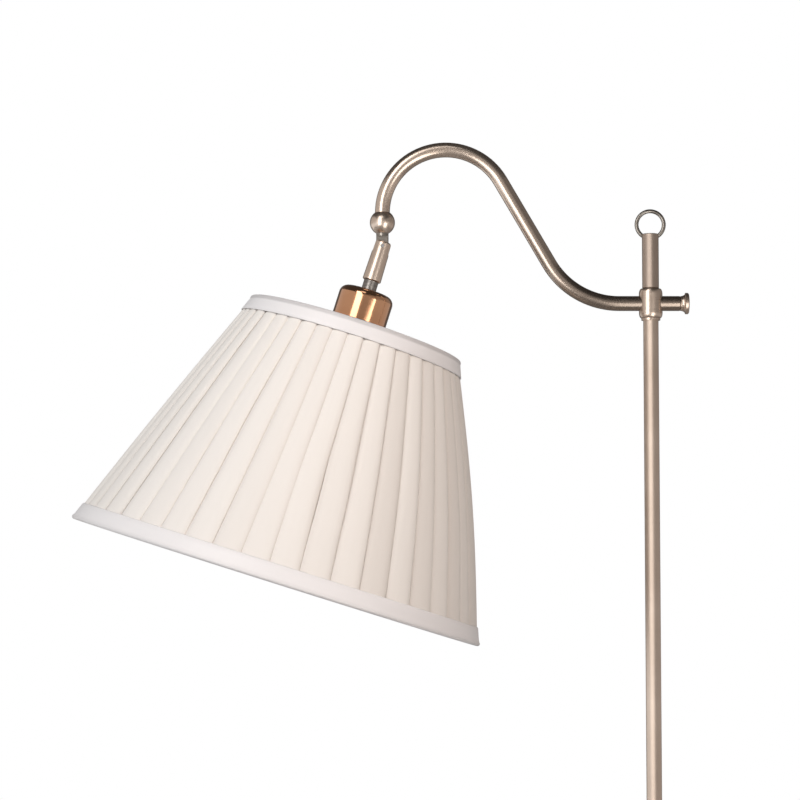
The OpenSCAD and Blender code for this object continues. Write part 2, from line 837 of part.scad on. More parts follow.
module holder_body() {
    r = holder_d / 2;
    color([0.12, 0.11, 0.1]) down(holder_top) difference() {
        turned(concat(
            [[0, -holder_l], [r, -holder_l]],
            arc(r - holder_round, -holder_round, holder_round, holder_round, 0, 90, 8),
            [[0, 0]]
        ));
        translate([0, 0, -holder_roof - eps])
            cylinder(d = nipple_d + 2 * seat_gap, h = holder_roof + 2 * eps);
        translate([0, 0, -holder_roof - chamber_h - eps])
            cylinder(d = chamber_d, h = chamber_h + eps);
        translate([0, 0, -holder_l - eps])
            cylinder(d = holder_bore_d, h = holder_l - holder_roof - chamber_h + eps);
    }
}

module holder_insert() {
    color([0.95, 0.94, 0.9])
        down(insert_face) cylinder(d = holder_bore_d - 2 * seat_gap, h = insert_t);
}

module terminal_screws() {
    color(BRASS)
        for (side = [-1, 1])
            down(insert_top) translate([side * terminal_at, 0, 0])
                cylinder(d = terminal_d, h = chamber_h / 2);
}

module screw_shell() {
    color(BRASS)
        down(insert_face + shell_depth)
            tube(shell_bore_d + 2 * shell_t, shell_bore_d, shell_depth);
}

module centre_contact() {
    color(BRASS) down(insert_face + contact_h) cylinder(d = contact_d, h = contact_h);
}

module shade_ring_upper() {
    color([0.12, 0.11, 0.1])
        down(spider_top) tube(shade_ring_d, spider_bore_d, shade_ring_h);
}

module shade_ring_lower() {
    color([0.12, 0.11, 0.1])
        down(spider_top + spider_t + shade_ring_h)
            tube(shade_ring_d, spider_bore_d, shade_ring_h);
}

// Outer radius of the shade at a distance down the head's axis.
function skin_r(a) =
    shade_top_d / 2 + (shade_bottom_d - shade_top_d) / 2 * (a - rim_top) / shade_h;

// Point on a rim wire's centreline, at an angle round the shade.
function wire_point(a, angle) =
    let (r = skin_r(a) - wire_in)
    [r * cos(angle), r * sin(angle), -a];

module rim_wire(a) {
    down(a) wire_ring(skin_r(a) - wire_in, frame_wire_d);
}

module shade_spider() {
    mid_a = spider_top + spider_t / 2;
    start_r = spider_ring_d / 2 - spider_arm_lap;
    color(CLOTH) union() {
        difference() {
            down(spider_top + spider_t) cylinder(d = spider_ring_d, h = spider_t);
            down(spider_top + spider_t + eps)
                cylinder(d = spider_bore_d, h = spider_t + 2 * eps);
        }
        on_head() for (angle = [30, 150, 270])
            rod([start_r * cos(angle), start_r * sin(angle), -mid_a],
                wire_point(top_wire_a, angle), frame_rod_d);
        rim_wire(top_wire_a);
    }
}

module shade_ribs() {
    color(STEEL) difference() {
        on_head() for (i = [0:ribs - 1])
            rod(wire_point(top_wire_a, 360 / ribs * i), wire_point(bottom_wire_a, 360 / ribs * i),
                frame_rod_d);
        rim_wire(top_wire_a);
        rim_wire(bottom_wire_a);
    }
}

module shade_bottom_wire() {
    color(STEEL) rim_wire(bottom_wire_a);
}

// A conical band of the shade between two depths in from its outer face.
function band(from_a, to_a, inset, t) = [
    [skin_r(from_a) - inset, -from_a],
    [skin_r(to_a) - inset, -to_a],
    [skin_r(to_a) - inset - t, -to_a],
    [skin_r(from_a) - inset - t, -from_a]
];

module shade_lining() {
    color(CLOTH) on_head() turned(band(cloth_top, cloth_bottom, lining_in, lining_t));
}

// Heights at which the pleated fabric's rings lie: flat under the trims, swelling between them.
swell_from = rim_top + top_trim_w;
swell_to = rim_bottom - bottom_trim_w;
swell_steps = 4;
cover_rings = concat(
    [cloth_top],
    [for (i = [0:swell_steps]) swell_from + (swell_to - swell_from) * i / swell_steps],
    [cloth_bottom]
);
function swell_at(a) =
    a <= swell_from || a >= swell_to ? 0
        : swell * sin(180 * (a - swell_from) / (swell_to - swell_from));

// One knife pleat: the share of its width, and the share of its depth, at each fold.
PLEAT = [[0, 0], [0.14, 1], [0.8, 0.35]];
cover_outside = [for (a = cover_rings) for (i = [0:pleats - 1]) for (p = PLEAT)
    let (
        r = skin_r(a) - cover_in - pleat_depth * (1 - p[1]) + swell_at(a),
        angle = 360 * (i + p[0]) / pleats
    )
    [r * cos(angle), r * sin(angle), -a]];
cover_inside = [for (a = cover_rings) for (i = [0:pleats - 1])
    let (r = skin_r(a) - cover_back + swell_at(a), angle = 360 * i / pleats)
    [r * cos(angle), r * sin(angle), -a]];

module shade_cover() {
    out_n = pleats * len(PLEAT);
    in_0 = len(cover_outside);
    last = len(cover_rings) - 1;
    outside = [for (k = [0:last - 1]) for (i = [0:out_n - 1])
        let (j = (i + 1) % out_n, a = k * out_n, b = a + out_n)
        each [[a + i, a + j, b + j], [a + i, b + j, b + i]]];
    inside = [for (k = [0:last - 1]) for (i = [0:pleats - 1])
        let (j = (i + 1) % pleats, a = in_0 + k * pleats, b = a + pleats)
        each [[a + i, b + j, a + j], [a + i, b + i, b + j]]];
    // Each end is closed by one strip of four triangles a pleat.
    ends = [for (end = [0, last]) for (i = [0:pleats - 1])
        let (
            j = (i + 1) % pleats,
            o = end * out_n + i * len(PLEAT),
            o3 = end * out_n + j * len(PLEAT),
            a = in_0 + end * pleats + i,
            b = in_0 + end * pleats + j,
            strip = [[a, o + 1, o], [a, o + 2, o + 1], [a, b, o + 2], [b, o3, o + 2]]
        )
        each (end == 0 ? strip : [for (t = strip) [t[0], t[2], t[1]]])];
    color(CLOTH) on_head()
        polyhedron(concat(cover_outside, cover_inside), concat(outside, inside, ends));
}

// A trim band with the rolled bead that closes the rim.
module trim(from_a, to_a, bead_a) {
    color(CLOTH) on_head() union() {
        turned(band(from_a, to_a, 0, trim_t));
        translate([0, 0, -bead_a])
            wire_ring(skin_r(bead_a) - bead_r + bead_proud, bead_d);
    }
}

module shade_top_trim() {
    trim(rim_top + bead_r, rim_top + top_trim_w, rim_top + bead_r);
}

module shade_bottom_trim() {
    trim(rim_bottom - bottom_trim_w, rim_bottom - bead_r, rim_bottom - bead_r);
}

module bulb_cap() {
    r = bulb_cap_d / 2;
    tip_r = bulb_tip_d / 2;
    color([0.75, 0.75, 0.76]) down(bulb_start) turned([
        [0, 0], [tip_r - bulb_tip_h / 2, 0], [tip_r, -bulb_tip_h],
        [r - bulb_cap_cone, -bulb_cone_h], [r, -bulb_crimp_h], [r, -bulb_cap_l], [0, -bulb_cap_l]
    ]);
}

// Half the outline of the bulb's glass, below its cap.
function glass_line(t) =
    let (r = bulb_d / 2 - t, c = bulb_l - bulb_d / 2, neck_r = bulb_cap_d / 2 - 0.6 - t)
    concat(
        [[0, -bulb_cap_l - t], [neck_r, -bulb_cap_l - t],
            [neck_r + 1, -bulb_cap_l - glass_neck_l]],
        arc(0, -c, r, r, 38, -90, 24)
    );

module bulb_glass() {
    color([1, 1, 0.97, 0.6]) down(bulb_start) rotate_extrude() difference() {
        polygon(glass_line(0));
        polygon(glass_line(glass_t));
    }
}

base_felt();
base_weight();
base_cover();
base_washer();
base_nut();
base_stud();
base_collar();
pole_lower();
pole_middle();
pole_upper();
pole_inserts();
joint_ring_lower();
joint_ring_upper();
joint_studs();
finial_sleeve();
finial_ring();
slider_bush();
slider_collar();
clamp_boss();
clamp_shoe();
clamp_screw();
clamp_knob();
arm_tube();
arm_flex();
cord_outlet_bush();
arm_ball();
knuckle_neck();
knuckle_pin();
forked_link();
link_flex();
holder_nipple();
nipple_spacer();
nipple_locknut();
holder_cap();
holder_body();
holder_insert();
terminal_screws();
screw_shell();
centre_contact();
shade_ring_upper();
shade_ring_lower();
shade_spider();
shade_ribs();
shade_bottom_wire();
shade_lining();
shade_cover();
shade_top_trim();
shade_bottom_trim();
bulb_cap();
bulb_glass();
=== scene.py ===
# %% [markdown]
# # A floor lamp with a swan-neck arm and a pleated shade
#
# This lesson dresses a lamp whose construction is already drawn in CAD. The metal parts keep their
# CAD shapes and get their finishes here. The soft parts, which CAD holds as plain solids, are made
# again as cloth: the pleated cover, its lining, the two trims and the felt under the base.
#
# Everything is in metres. The pole stands on x = 0, y = 0, the floor is z = 0, and the arm reaches
# towards -X. The camera looks along +Y.

# %% Load the CAD model
import json
import math
import random

import bmesh
import bpy
from mathutils import Matrix, Vector, noise


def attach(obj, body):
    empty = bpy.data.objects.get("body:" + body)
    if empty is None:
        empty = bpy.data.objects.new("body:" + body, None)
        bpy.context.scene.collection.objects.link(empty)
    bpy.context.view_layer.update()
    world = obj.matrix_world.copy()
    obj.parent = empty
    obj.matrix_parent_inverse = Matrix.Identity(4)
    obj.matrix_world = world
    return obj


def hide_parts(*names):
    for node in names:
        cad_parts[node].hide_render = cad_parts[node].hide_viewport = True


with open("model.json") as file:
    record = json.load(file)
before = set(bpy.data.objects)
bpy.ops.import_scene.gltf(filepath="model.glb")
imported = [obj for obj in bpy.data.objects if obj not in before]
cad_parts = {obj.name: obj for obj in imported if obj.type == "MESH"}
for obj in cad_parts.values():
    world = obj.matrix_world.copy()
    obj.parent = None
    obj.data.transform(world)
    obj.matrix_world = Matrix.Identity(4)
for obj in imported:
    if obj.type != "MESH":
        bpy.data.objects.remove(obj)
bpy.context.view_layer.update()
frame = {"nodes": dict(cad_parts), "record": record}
cad_nodes = frame["nodes"]

# %% [markdown]
# ## Camera
#
# The photograph was taken with a long lens a little below the arm, looking slightly up. A long
# lens keeps the shade's two rims nearly parallel. The place and the pitch were found by matching
# the pole, the arm's crest and the shade's corners.

# %% Camera
MM = 0.001
CAMERA_PLACE = (-213.1 * MM, -2233.9 * MM, 1105.5 * MM)
CAMERA_PITCH = math.radians(90 + 4.41)
FOCAL_LENGTH, SENSOR_WIDTH = 118.96, 36

camera_data = bpy.data.cameras.new("camera")
camera_data.lens = FOCAL_LENGTH
camera_data.sensor_width = SENSOR_WIDTH
camera = bpy.data.objects.new("camera", camera_data)
camera.location = CAMERA_PLACE
camera.rotation_euler = (CAMERA_PITCH, 0, 0)
bpy.context.scene.collection.objects.link(camera)
bpy.context.scene.camera = camera
print("camera at", CAMERA_PLACE, "with a lens of", FOCAL_LENGTH, "mm")

# %% [markdown]
# ## Small helpers
#
# A new piece is drawn in a bmesh, and then becomes an object that rides on one CAD body.
# Everything from the knuckle down hangs on one tilted axis, so those pieces are drawn upright,
# with their axis on the tilt pivot, and turned by one matrix. A distance *down the head* is
# written as in the CAD source, and is -Z in the bmesh.

# %% From a bmesh to a piece
PIVOT = Vector((-228.094 * MM, 0, 1408.75 * MM))
TILT = math.radians(17.5)
HEAD = Matrix.Translation(PIVOT) @ Matrix.Rotation(TILT, 4, "Y")


def piece_from(bm, name, body, place=Matrix.Identity(4)):
    bmesh.ops.transform(bm, matrix=place, verts=bm.verts)
    mesh = bpy.data.meshes.new(name)
    bm.to_mesh(mesh)
    bm.free()
    for face in mesh.polygons:
        face.use_smooth = True
    piece = bpy.data.objects.new(name, mesh)
    bpy.context.scene.collection.objects.link(piece)
    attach(piece, body)
    return piece


def add_thickness(piece, thickness, offset=-1.0):
    """A wall of so many mm: behind the drawn face at offset -1, on both sides of it at 0."""
    wall = piece.modifiers.new("cloth", "SOLIDIFY")
    wall.thickness = thickness * MM
    wall.offset = offset


print("the head leans", round(math.degrees(TILT), 1), "degrees about", tuple(PIVOT))

# %% [markdown]
# ## The shade's cone
#
# All the layers of the shade follow one cone. Its outer face runs from the top rim to the bottom
# rim, and each layer lies some millimetres in from it.

# %% The cone that the layers follow
RIM_TOP, RIM_BOTTOM = 74.0, 299.0
SHADE_TOP_R, SHADE_BOTTOM_R = 92.5, 180.0
CLOTH_TOP, CLOTH_BOTTOM = 78.3, 294.7
TOP_TRIM, BOTTOM_TRIM = 14.0, 15.0
BEAD_R, BEAD_PROUD = 2.0, 0.4


def skin(down):
    """Outer radius of the shade, in mm, at a distance down the head."""
    return SHADE_TOP_R + (SHADE_BOTTOM_R - SHADE_TOP_R) * (down - RIM_TOP) / (RIM_BOTTOM - RIM_TOP)


SLANT = math.hypot(CLOTH_BOTTOM - CLOTH_TOP, skin(CLOTH_BOTTOM) - skin(CLOTH_TOP))
print("the cloth is", round(SLANT, 1), "mm along the slant")

# %% [markdown]
# ## Finishes
#
# Each finish is a small node tree on Object coordinates, so it stays where it is on the part.
# Image textures would need a map on every part and would blur close up, while noise and waves stay
# sharp at any distance.
#
# The first helper below adds a node, sets its inputs and links what is given as another node's
# output. An input is named by its label, or by its number after an underscore where labels repeat.

# %% Helpers for node trees
def add_node(tree, kind, settings=None, **inputs):
    made = tree.nodes.new(kind)
    for name, value in (settings or {}).items():
        setattr(made, name, value)
    for name, value in inputs.items():
        socket = made.inputs[int(name[1:]) if name[1:].isdigit() else name.replace("_", " ")]
        if isinstance(value, bpy.types.NodeSocket):
            tree.links.new(value, socket)
        else:
            socket.default_value = value
    return made


def shader_of(finish):
    return finish.node_tree.nodes["Principled BSDF"]


def new_finish(name, roughness, metallic=0.0):
    finish = bpy.data.materials.new(name)
    finish.use_nodes = True
    tree, shader = finish.node_tree, shader_of(finish)
    shader.inputs["Roughness"].default_value = roughness
    shader.inputs["Metallic"].default_value = metallic
    place = add_node(tree, "ShaderNodeTexCoord").outputs["Object"]
    return finish, tree, shader, place


print("a finish starts from one shader")

# %% [markdown]
# The same few steps come back in every finish: two tones blended by a noise, a range of values
# spread over another range, a fine bump, and a colour that is darkened by painted shade.

# %% Helpers for tone, grain and bump
def blend_colours(tree, share, first, second):
    mix = add_node(tree, "ShaderNodeMix", {"data_type": "RGBA"}, _0=share)
    mix.inputs[6].default_value = (*first, 1)
    mix.inputs[7].default_value = (*second, 1)
    return mix.outputs[2]


def grain(tree, place, scale, stretch=(1, 1, 1), detail=3.0):
    """Noise at so many features a metre, stretched along an axis by a small factor there."""
    mapping = add_node(tree, "ShaderNodeMapping", _0=place, Scale=stretch)
    return add_node(tree, "ShaderNodeTexNoise", Vector=mapping.outputs[0], Scale=scale,
                    Detail=detail).outputs[0]


def spread(tree, value, low, high, to_low=0.0, to_high=1.0):
    return add_node(tree, "ShaderNodeMapRange", {"clamp": True}, Value=value, From_Min=low,
                    From_Max=high, To_Min=to_low, To_Max=to_high).outputs[0]


def add_bump(tree, shader, height, distance, strength=1.0):
    bump = add_node(tree, "ShaderNodeBump", Strength=strength, Distance=distance, Height=height)
    tree.links.new(bump.outputs[0], shader.inputs["Normal"])


def darken(finish, share, deep):
    """Mix a finish's colour towards a deep one, by a share from 0 to 1."""
    tree, shader = finish.node_tree, shader_of(finish)
    colour = shader.inputs["Base Color"].links[0].from_socket
    mix = add_node(tree, "ShaderNodeMix", {"data_type": "RGBA"}, _0=share, _6=colour)
    mix.inputs[7].default_value = (*deep, 1)
    tree.links.new(mix.outputs[2], shader.inputs["Base Color"])


print("tone, grain and bump can be added")

# %% [markdown]
# ### Antique brass
#
# The pole, arm and collar are brass that was darkened, rubbed back to a pinkish grey-brown and
# lacquered. Three things make it read as that and not as new brass: a colour that drifts between
# two close tones, a fine grain in the roughness, and a thin clear coat. On parts turned in a lathe
# the grain is drawn out into rings round the pole's axis, by a stretch of the noise. Parts that
# are handled, such as the collar and the knuckle, are smoother than the pole. The sleeve at the
# top is a tone darker. The ring on it and the neck under the ball are painted dark: painted shade.

# %% Antique brass
DRIFTS_PER_METRE, GRAINS_PER_METRE = 14.0, 1600.0
TURNED, PLAIN = (0.06, 0.06, 1), (1, 1, 1)


def antique_brass(name, light, dark, roughness, stretch, depth=0.003):
    """depth is the grain's height in millimetres."""
    finish, tree, shader, place = new_finish(name, roughness, metallic=1.0)
    drift = spread(tree, grain(tree, place, DRIFTS_PER_METRE, detail=5.0), 0.38, 0.62)
    tree.links.new(blend_colours(tree, drift, light, dark), shader.inputs["Base Color"])
    fine = grain(tree, place, GRAINS_PER_METRE, stretch, detail=2.0)
    tree.links.new(spread(tree, fine, 0.3, 0.7, roughness - 0.03, roughness + 0.04),
                   shader.inputs["Roughness"])
    add_bump(tree, shader, fine, depth * MM, 0.4)
    shader.inputs["Coat Weight"].default_value = 0.15
    shader.inputs["Coat Roughness"].default_value = 0.15
    return finish


BRASS_LIGHT, BRASS_DARK = (0.72, 0.60, 0.51), (0.63, 0.515, 0.43)
pole_brass = antique_brass("turned_antique_brass", BRASS_LIGHT, BRASS_DARK, 0.42, TURNED)
sleeve_brass = antique_brass("shaded_antique_brass", (0.56, 0.46, 0.39), (0.48, 0.39, 0.33), 0.4,
                             TURNED)
collar_brass = antique_brass("polished_collar_brass", BRASS_LIGHT, BRASS_DARK, 0.3, TURNED)
arm_brass = antique_brass("satin_antique_brass", BRASS_LIGHT, BRASS_DARK, 0.27, PLAIN, 0.0006)
knuckle_brass = antique_brass("rubbed_antique_brass", BRASS_LIGHT, BRASS_DARK, 0.3, PLAIN, 0.0008)
# Painted shade: a dark copy of the brass for the neck under the ball and the ring on the sleeve.
shadowed_brass = antique_brass("painted_shade_dark_brass", (0.34, 0.31, 0.28), (0.27, 0.25, 0.225), 0.3, PLAIN,
                           0.001)
print("antique brass is made")

# %% [markdown]
# The arm is painted darker where it runs level into the collar. This is painted shade, which
# darkens the reflection on that run. The painted shade grows along X, between two places on the
# level run.

# %% Painted shade on the arm's level run
PAINTED_SHADE_FROM, PAINTED_SHADE_TO, PAINTED_SHADE_MOST = -0.12, -0.05, 0.5
tree = arm_brass.node_tree
place = add_node(tree, "ShaderNodeTexCoord").outputs["Object"]
along = add_node(tree, "ShaderNodeSeparateXYZ", _0=place).outputs[0]
# Painted shade: the level run's colour darkens towards the collar.
painted_shade = spread(tree, along, PAINTED_SHADE_FROM, PAINTED_SHADE_TO, 0.0, PAINTED_SHADE_MOST)
darken(arm_brass, painted_shade, (0.03, 0.02, 0.015))
print("patina from", PAINTED_SHADE_FROM, "to", PAINTED_SHADE_TO, "m")

# %% [markdown]
# ### Copper
#
# The cap over the lamp holder is the one polished, orange part. It is spun from sheet, so its
# faint marks run round the cap, and it is lacquered, so it gets a full clear coat.

# %% Copper
copper, tree, shader, place = new_finish("polished_copper", 0.13, metallic=1.0)
drift = spread(tree, grain(tree, place, 30.0, detail=4.0), 0.35, 0.65)
tree.links.new(blend_colours(tree, drift, (0.78, 0.42, 0.23), (0.66, 0.33, 0.17)),
               shader.inputs["Base Color"])
spun = grain(tree, place, 500.0, (0.1, 0.1, 1))
tree.links.new(spread(tree, spun, 0.3, 0.7, 0.11, 0.16), shader.inputs["Roughness"])
add_bump(tree, shader, spun, 0.003 * MM, 0.3)
shader.inputs["Coat Weight"].default_value = 1.0
shader.inputs["Coat Roughness"].default_value = 0.1
print("copper is made")

# %% [markdown]
# ### The other hard finishes
#
# Most of these are hidden when the lamp is whole, but each is what such a part is made of: turned
# steel with tool marks, a rough iron casting, black moulded plastic, glazed porcelain, white coated
# wire, PVC flex, black rubber, a tinned bulb cap, contact brass and frosted glass. A darker copy of
# the turned steel is painted shade. The glass is frosted inside, so it scatters light instead of
# letting the lamp's insides show.

# %% Other hard finishes
def plain_finish(name, light, dark, roughness, scale, depth, metallic=0.0, stretch=(1, 1, 1)):
    finish, tree, shader, place = new_finish(name, roughness, metallic)
    pattern = grain(tree, place, scale, stretch, detail=4.0)
    share = spread(tree, pattern, 0.35, 0.65)
    tree.links.new(blend_colours(tree, share, light, dark), shader.inputs["Base Color"])
    tree.links.new(spread(tree, pattern, 0.3, 0.7, roughness - 0.04, roughness + 0.05),
                   shader.inputs["Roughness"])
    add_bump(tree, shader, pattern, depth * MM, 0.6)
    return finish


LATHE_MARKS = (0.1, 0.1, 1)
steel = plain_finish("turned_steel", (0.50, 0.50, 0.51), (0.40, 0.40, 0.41), 0.32, 700.0, 0.02,
                     1.0, LATHE_MARKS)
# Painted shade: a darker copy of the turned steel for the spacer under the link.
shadowed_steel = plain_finish("painted_shade_steel", (0.30, 0.28, 0.265), (0.22, 0.205, 0.195), 0.36, 700.0,
                          0.02, 1.0, LATHE_MARKS)
iron = plain_finish("cast_iron", (0.055, 0.055, 0.06), (0.03, 0.03, 0.032), 0.62, 420.0, 0.25, 0.4)
bulb_tin = plain_finish("tinned_cap", (0.66, 0.66, 0.66), (0.56, 0.56, 0.55), 0.28, 240.0, 0.03,
                        1.0)
contact_brass = plain_finish("contact_brass", (0.72, 0.55, 0.28), (0.6, 0.44, 0.2), 0.3, 300.0,
                             0.02, 1.0)
black_plastic = plain_finish("black_holder", (0.022, 0.020, 0.018), (0.014, 0.013, 0.012), 0.38,
                             900.0, 0.02)
white_wire = plain_finish("white_coated_wire", (0.80, 0.79, 0.76), (0.74, 0.72, 0.68), 0.42,
                          260.0, 0.06)
white_flex = plain_finish("white_flex", (0.78, 0.77, 0.73), (0.72, 0.71, 0.67), 0.45, 300.0, 0.03)
rubber = plain_finish("black_rubber", (0.016, 0.016, 0.016), (0.028, 0.028, 0.028), 0.6, 800.0,
                      0.04)
print("metals, plastics and rubber are made")

# %% Porcelain and frosted glass
porcelain = plain_finish("porcelain", (0.86, 0.85, 0.82), (0.82, 0.80, 0.76), 0.22, 160.0, 0.03)
shader_of(porcelain).inputs["Coat Weight"].default_value = 0.6

frosted_glass = plain_finish("frosted_glass", (0.86, 0.86, 0.84), (0.83, 0.83, 0.80), 0.35, 350.0,
                             0.02)
shader = shader_of(frosted_glass)
shader.inputs["Subsurface Weight"].default_value = 0.35
shader.inputs["Subsurface Radius"].default_value = (0.006, 0.006, 0.005)
shader.inputs["Coat Weight"].default_value = 0.5
shader.inputs["Coat Roughness"].default_value = 0.08
print("porcelain and frosted glass are made")

# %% [markdown]
# ### Cloth
#
# The cover is a fine plain weave in warm white, the lining is smoother, and the trims are a denser
# satin band. A plain weave is two sets of threads at right angles. On a cone the threads follow
# the cloth's own directions, so the cloth pieces carry a UV map in metres, and the weave is the
# product of two waves on it. Threads drawn as geometry would be millions of faces. At a thread
# every 0.35 mm the bump shows them close up and is a soft sheen from a step away.
#
# A crease in thin pale cloth is warmer and darker than its shape alone makes it, because light
# passes from layer to layer in it. That is painted shade here: the cloth's mesh carries it as an
# attribute named shadow, and the finish mixes its colour towards a deeper one by it.

# %% A weave on the cloth's own map
SLUBS_PER_METRE, ALONG_THREAD = 260.0, (1, 0.08, 1)


def cloth_finish(name, light, dark, threads, depth, slub=0.5):
    """threads is the number in a metre, depth their height in mm, slub how uneven they are."""
    finish, tree, shader, _ = new_finish(name, 0.85)
    cloth_map = add_node(tree, "ShaderNodeUVMap", {"uv_map": "weave"}).outputs[0]
    split = add_node(tree, "ShaderNodeSeparateXYZ", _0=cloth_map)
    waves = []
    for axis in (0, 1):
        angle = add_node(tree, "ShaderNodeMath", {"operation": "MULTIPLY"}, _0=split.outputs[axis],
                         _1=math.pi * threads)
        wave = add_node(tree, "ShaderNodeMath", {"operation": "SINE"}, _0=angle.outputs[0])
        waves.append(add_node(tree, "ShaderNodeMath", {"operation": "ABSOLUTE"},
                              _0=wave.outputs[0]).outputs[0])
    weave = add_node(tree, "ShaderNodeMath", {"operation": "MULTIPLY"}, _0=waves[0], _1=waves[1])
    slubs = grain(tree, cloth_map, SLUBS_PER_METRE, ALONG_THREAD, detail=3.0)
    thread = add_node(tree, "ShaderNodeMath", {"operation": "MULTIPLY_ADD"}, _0=slubs, _1=slub,
                      _2=weave.outputs[0])
    share = spread(tree, thread.outputs[0], 0.2, 1.3)
    tree.links.new(blend_colours(tree, share, dark, light), shader.inputs["Base Color"])
    add_bump(tree, shader, thread.outputs[0], depth * MM, 0.5)
    shader.inputs["Sheen Weight"].default_value = 0.15
    shader.inputs["Sheen Roughness"].default_value = 0.5
    shader.inputs["Specular IOR Level"].default_value = 0.2
    return finish


def darken_where_marked(finish, deep):
    # Painted shade, by the mesh attribute named shadow.
    mark = add_node(finish.node_tree, "ShaderNodeAttribute", {"attribute_name": "shadow"})
    darken(finish, mark.outputs["Fac"], deep)


print("a weave follows the map named weave")

# %% Three cloths and a felt
cover_cloth = cloth_finish("pleated_cloth", (0.86, 0.825, 0.79), (0.80, 0.76, 0.72), 2850.0, 0.04)
# Painted shade in the creases and on the pleats that turn from the light.
darken_where_marked(cover_cloth, (0.30, 0.215, 0.155))

lining_cloth = cloth_finish("lining_cloth", (0.88, 0.87, 0.85), (0.83, 0.82, 0.79), 3600.0, 0.02,
                            0.2)

trim_cloth = cloth_finish("trim_cloth", (0.84, 0.82, 0.825), (0.80, 0.78, 0.785), 3300.0, 0.03, 0.3)
darken_where_marked(trim_cloth, (0.30, 0.28, 0.285))
shader = shader_of(trim_cloth)
shader.inputs["Roughness"].default_value = 0.45
shader.inputs["Specular IOR Level"].default_value = 0.5

felt_cloth = plain_finish("pressed_felt", (0.020, 0.030, 0.022), (0.035, 0.048, 0.038), 0.95,
                          1400.0, 0.25)
shader_of(felt_cloth).inputs["Sheen Weight"].default_value = 0.4
print("cloth is made")

# %% [markdown]
# ## The pleated cover
#
# On the real shade a straight strip of cloth is folded into 44 knife pleats. Each pleat is a panel
# that slopes in from its folded edge to the crease beside the next pleat, and under that pleat the
# cloth doubles back on itself. Because the strip is straight and the shade is a cone, the hidden
# part is deep at the small top and shallow at the wide bottom.
#
# A cloth simulation could fold the strip, but knife pleats are pressed and stitched, so their
# shape is known beforehand, and drawn folds are the same on each run.
#
# So one pleat is written as points along the strip: a share of the pleat's width and a depth in
# millimetres below the outermost fold. PANEL runs in to the crease, and EDGE comes out again round
# the next pleat's fold. A circle of edges is extruded down the cone ring by ring, and each point
# of a ring is then put where its pleat's fold is at that height. Between the rims the cloth swells
# a little, and more on the side that faces the pole.

# %% One knife pleat
PLEATS = 44
PLEAT_STRIP = 30.0
COVER_IN = 1.3
SWELL, SWELL_SIDE = 2.5, 1.2
COVER_RINGS = 26

PANEL = [(0.28, 0.0), (0.4, 0.03), (0.54, 0.14), (0.68, 0.33), (0.8, 0.58), (0.88, 0.85),
         (0.95, 1.2), (1.0, 1.55)]
EDGE = [(1.02, 1.43), (1.05, 1.02), (1.1, 0.6), (1.17, 0.2)]


def pleat_fold(hidden):
    """Points along one pleat, where the cloth doubles back over this share of the pleat's width."""
    tail = [(1 + 0.5 * hidden, 1.95), (1 + hidden, 2.4), (1 + hidden + 0.015, 2.2)]
    back = [(1 + hidden, 2.0), (1 + 0.5 * hidden, 1.65)]
    return PANEL + tail + back + EDGE


def pleat_width(down):
    return 2 * math.pi * skin(down) / PLEATS


TYPICAL_HIDDEN = 0.3
FOLD_POINTS = len(pleat_fold(TYPICAL_HIDDEN))
print(PLEATS, "pleats of", FOLD_POINTS, "points,", round(pleat_width(CLOTH_TOP), 1),
      "mm wide above and", round(pleat_width(CLOTH_BOTTOM), 1), "mm below")

# %% [markdown]
# No two pleats are alike. Each gets its own small lean, rise and tone from a seeded random draw.
# The tones of the pleats at the right and the front are then set one by one, as painted shade,
# because in the photograph some at the right turn away from the light. A few creases at the left
# stand open and get more painted shade.

# %% How the pleats differ
random.seed(44)
PLEAT_LEAN = [random.uniform(-0.11, 0.11) for _ in range(PLEATS)]
PLEAT_RISE = [random.uniform(-0.4, 0.4) for _ in range(PLEATS)]
PLEAT_TONE_AND_SHADE = [random.uniform(0, 0.07) for _ in range(PLEATS)]
# Painted shade: the pleats at the right and the front are darkened one by one.
PLEAT_TONE_AND_SHADE[:8] = [0.2, 0.18, 0.13, 0.15, 0.05, 0.09, 0.0, 0.12]
PLEAT_TONE_AND_SHADE[8:17] = [0.0, 0.02, 0.0, 0.01, 0.03, 0.0, 0.01, 0.03, 0.01]
CREASE_SHADOW, OPEN_CREASE_SHADOW = 0.12, 0.26
OPEN_PLEATS = range(17, 24)
print("pleats lean by up to", round(max(map(abs, PLEAT_LEAN)), 2), "of their width")

# %% [markdown]
# The trims hold the cloth at both ends, and it is freer the nearer it is to the middle. So the
# lean, the rise, the swell and a slow wander of each fold all grow with that freedom. The rise
# fades on the deeper points, which keeps a raised panel clear of the fold behind it.

# %% Where a point of the cover lies
MOST_HIDDEN = 0.62
FREE_FROM, FREE_OVER = 0.04, 0.92
WANDER, WANDER_APART, WANDER_DOWN = 0.07, 3.7, 2.2
NO_RISE_AT, DEEPER_WHEN_FREE = 2.8, 0.15


def fold_owner(pleat, step):
    """The folded edge at the end of a pleat's points belongs to the next pleat."""
    return (pleat + (step >= FOLD_POINTS - len(EDGE))) % PLEATS


